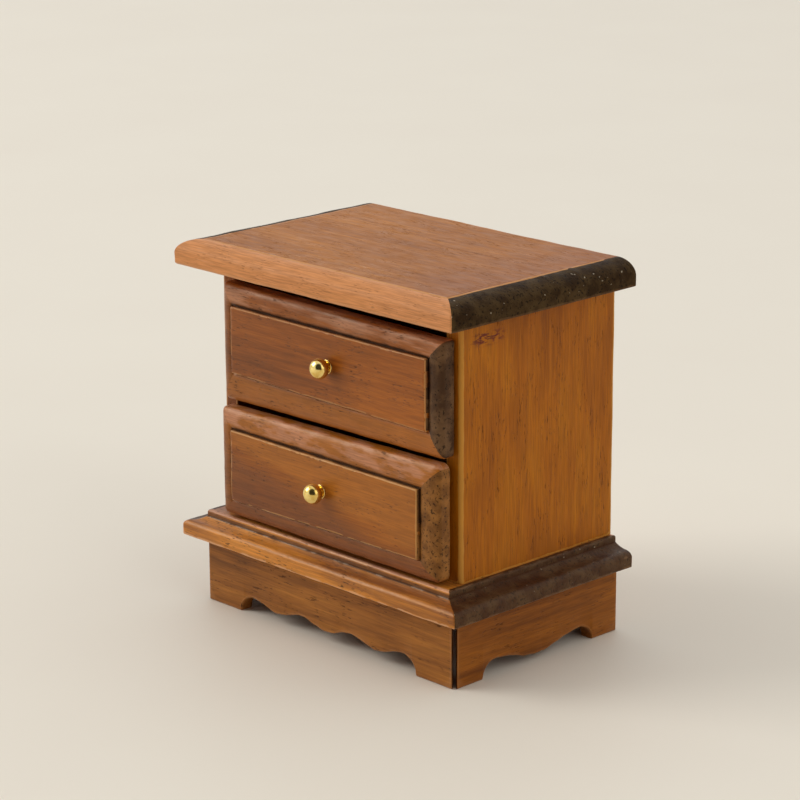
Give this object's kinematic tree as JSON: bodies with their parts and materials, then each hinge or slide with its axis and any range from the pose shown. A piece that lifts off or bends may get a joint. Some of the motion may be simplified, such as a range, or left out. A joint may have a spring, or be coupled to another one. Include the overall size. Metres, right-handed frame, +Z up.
{
  "type": "miniature bedside chest of drawers",
  "caption": "Dolls' house bedside chest in stained wood: moulded top and base boards, scroll-cut plinth, sliding drawers with raised fronts and turned brass knobs.",
  "frame": {"origin": "middle of the footprint on the surface the chest stands on, with the lower drawer standing slightly open", "axes": "+Z up, +X towards the chest's right end as seen from the front, front of the chest facing -Y"},
  "size_m": [0.0576, 0.038, 0.056],
  "materials": {
    "walnut_top": "walnut-amber stain under a thin satin varnish, dark end grain",
    "walnut_side": "amber stain under a thin satin varnish, upright grain",
    "walnut_front": "blotchy walnut stain under satin varnish, worn arrises",
    "walnut_plinth": "darker walnut stain, satin",
    "raw_box_wood": "thinly stained, open grain, matt",
    "polished_brass": "polished brass, turned"
  },
  "bodies": {
    "carcass": {"top_board": "walnut_top", "base_board": "walnut_top", "left_side_panel": "walnut_side", "right_side_panel": "walnut_side", "back_panel": "walnut_side", "drawer_divider": "walnut_side", "top_rail": "walnut_side", "front_apron": "walnut_plinth", "back_apron": "walnut_plinth", "left_apron": "walnut_plinth", "right_apron": "walnut_plinth"},
    "upper_drawer": {"upper_drawer_front": "walnut_front", "upper_drawer_left_side": "raw_box_wood", "upper_drawer_right_side": "raw_box_wood", "upper_drawer_back": "raw_box_wood", "upper_drawer_bottom": "raw_box_wood", "upper_drawer_knob": "polished_brass"},
    "lower_drawer": {"lower_drawer_front": "walnut_front", "lower_drawer_left_side": "raw_box_wood", "lower_drawer_right_side": "raw_box_wood", "lower_drawer_back": "raw_box_wood", "lower_drawer_bottom": "raw_box_wood", "lower_drawer_knob": "polished_brass"}
  },
  "joints": [
    {"name": "upper_drawer_slide", "type": "slide", "parent": "carcass", "child": "upper_drawer", "axis": [0, -1, 0], "range_m": [0, 0.022]},
    {"name": "lower_drawer_slide", "type": "slide", "parent": "carcass", "child": "lower_drawer", "axis": [0, -1, 0], "range_m": [-0.0008, 0.0212]}
  ]
}
